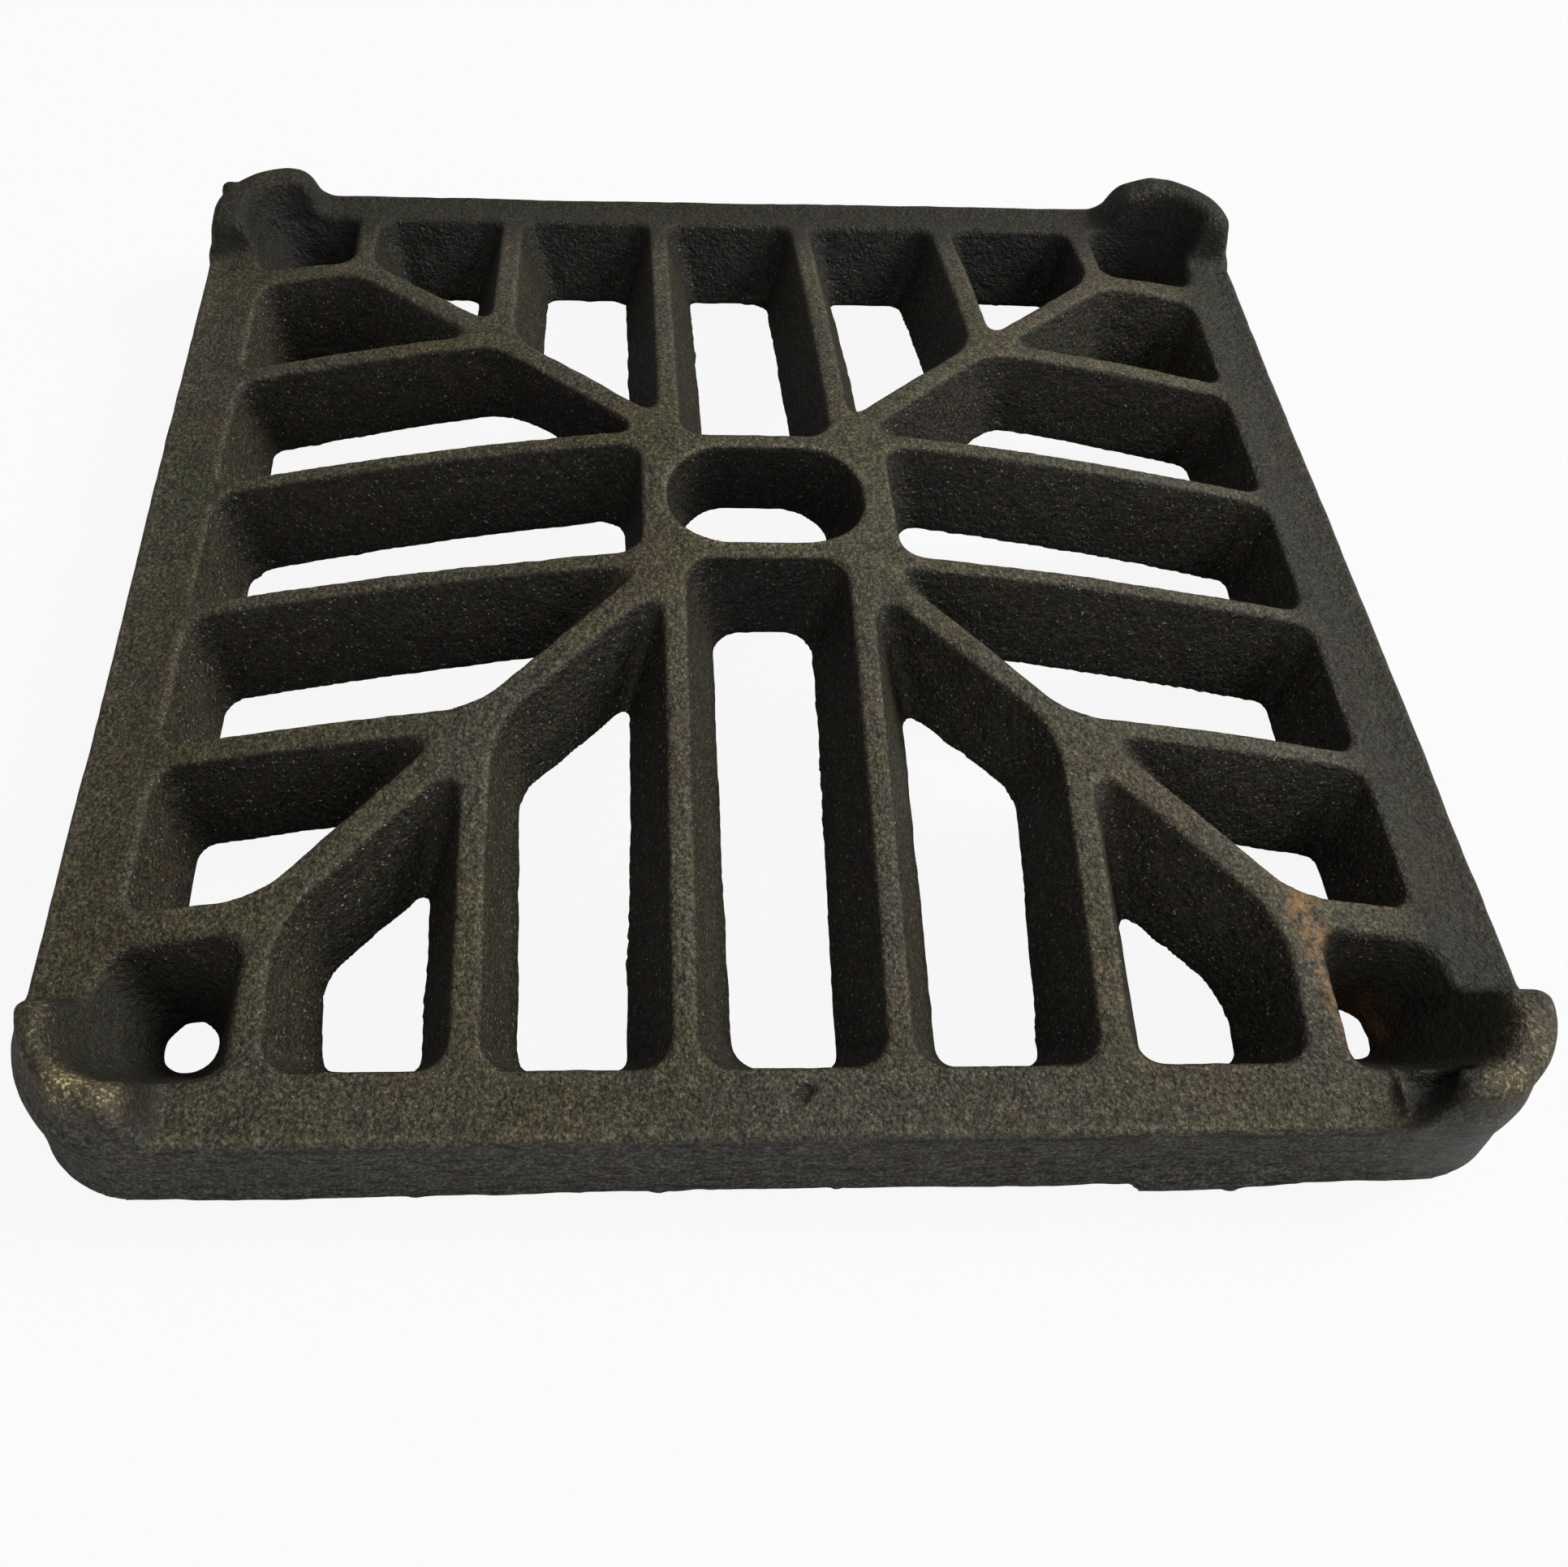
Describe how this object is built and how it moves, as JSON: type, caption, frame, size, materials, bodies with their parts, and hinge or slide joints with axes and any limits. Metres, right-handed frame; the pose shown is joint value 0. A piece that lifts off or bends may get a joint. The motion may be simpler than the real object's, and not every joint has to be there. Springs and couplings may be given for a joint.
{
  "type": "floor drain grate",
  "caption": "Square dished cast-iron gully grate with straight slots, diagonal ribs, an oblong lifting hole and short corner legs, lying with its underside up.",
  "frame": {"origin": "centre of the square, on the plane of the walking rim", "axes": "+Z from the walking face towards the underside and the legs, +X along one side parallel to the long axis of the oblong lifting hole; in use the grate is turned over, with +Z down"},
  "size_m": [0.225, 0.225, 0.035],
  "materials": {
    "cast_iron": "as-cast grey iron, weathered olive-grey with light rust"
  },
  "bodies": {
    "root": {"grate_casting": "cast_iron"}
  },
  "joints": []
}
